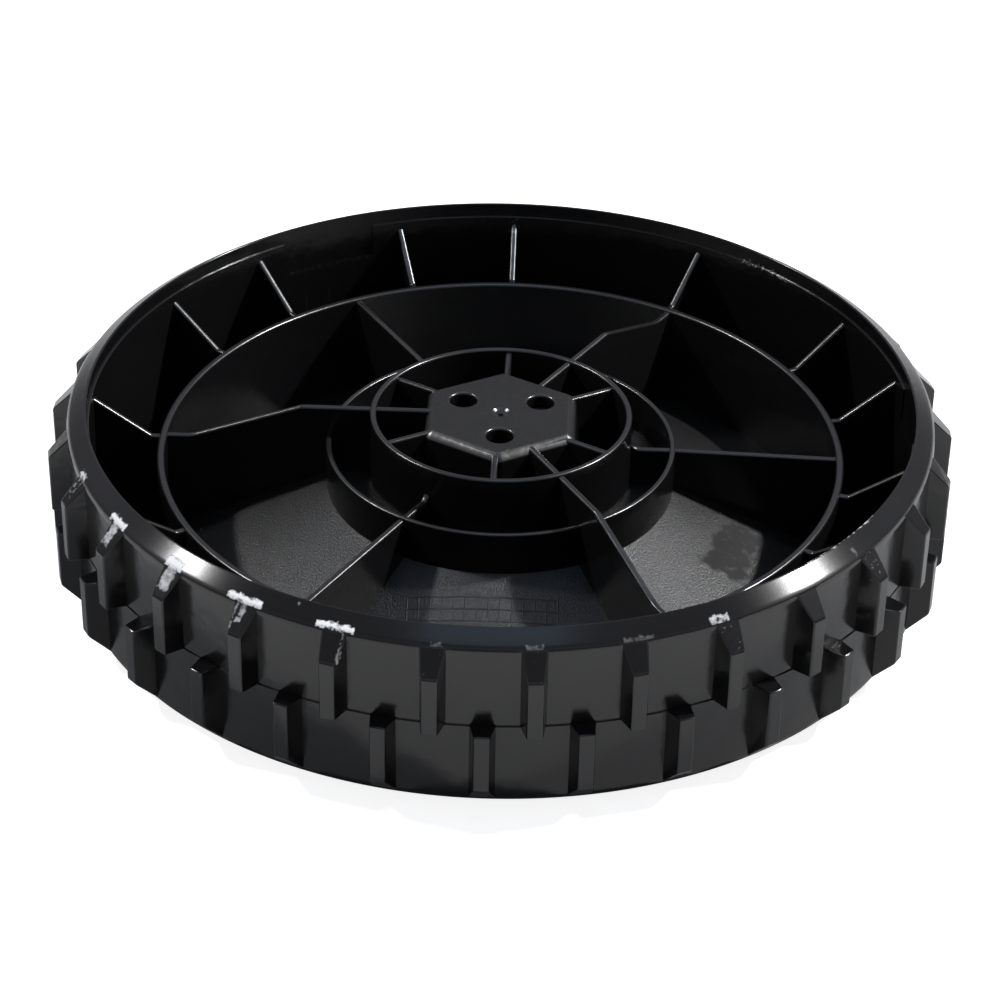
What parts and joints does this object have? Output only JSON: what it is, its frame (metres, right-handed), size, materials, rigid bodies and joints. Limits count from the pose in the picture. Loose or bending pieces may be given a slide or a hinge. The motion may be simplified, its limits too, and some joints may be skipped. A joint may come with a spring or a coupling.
{
  "type": "lawn mower wheel",
  "caption": "Black plastic drive wheel for a robotic lawn mower: lugged tread, ribbed open inner side and a hexagonal hub plate for drive screws.",
  "frame": {"origin": "centre of the outer face, which the wheel lies on", "axes": "+Z along the axle, from the outer face to the ribbed inner side; +X along a low spoke"},
  "size_m": [0.201, 0.201, 0.042],
  "materials": {
    "wheel": "semi-gloss moulded black, worn and scuffed at the lug roots"
  },
  "bodies": {
    "root": {"wheel": "wheel"}
  },
  "joints": []
}
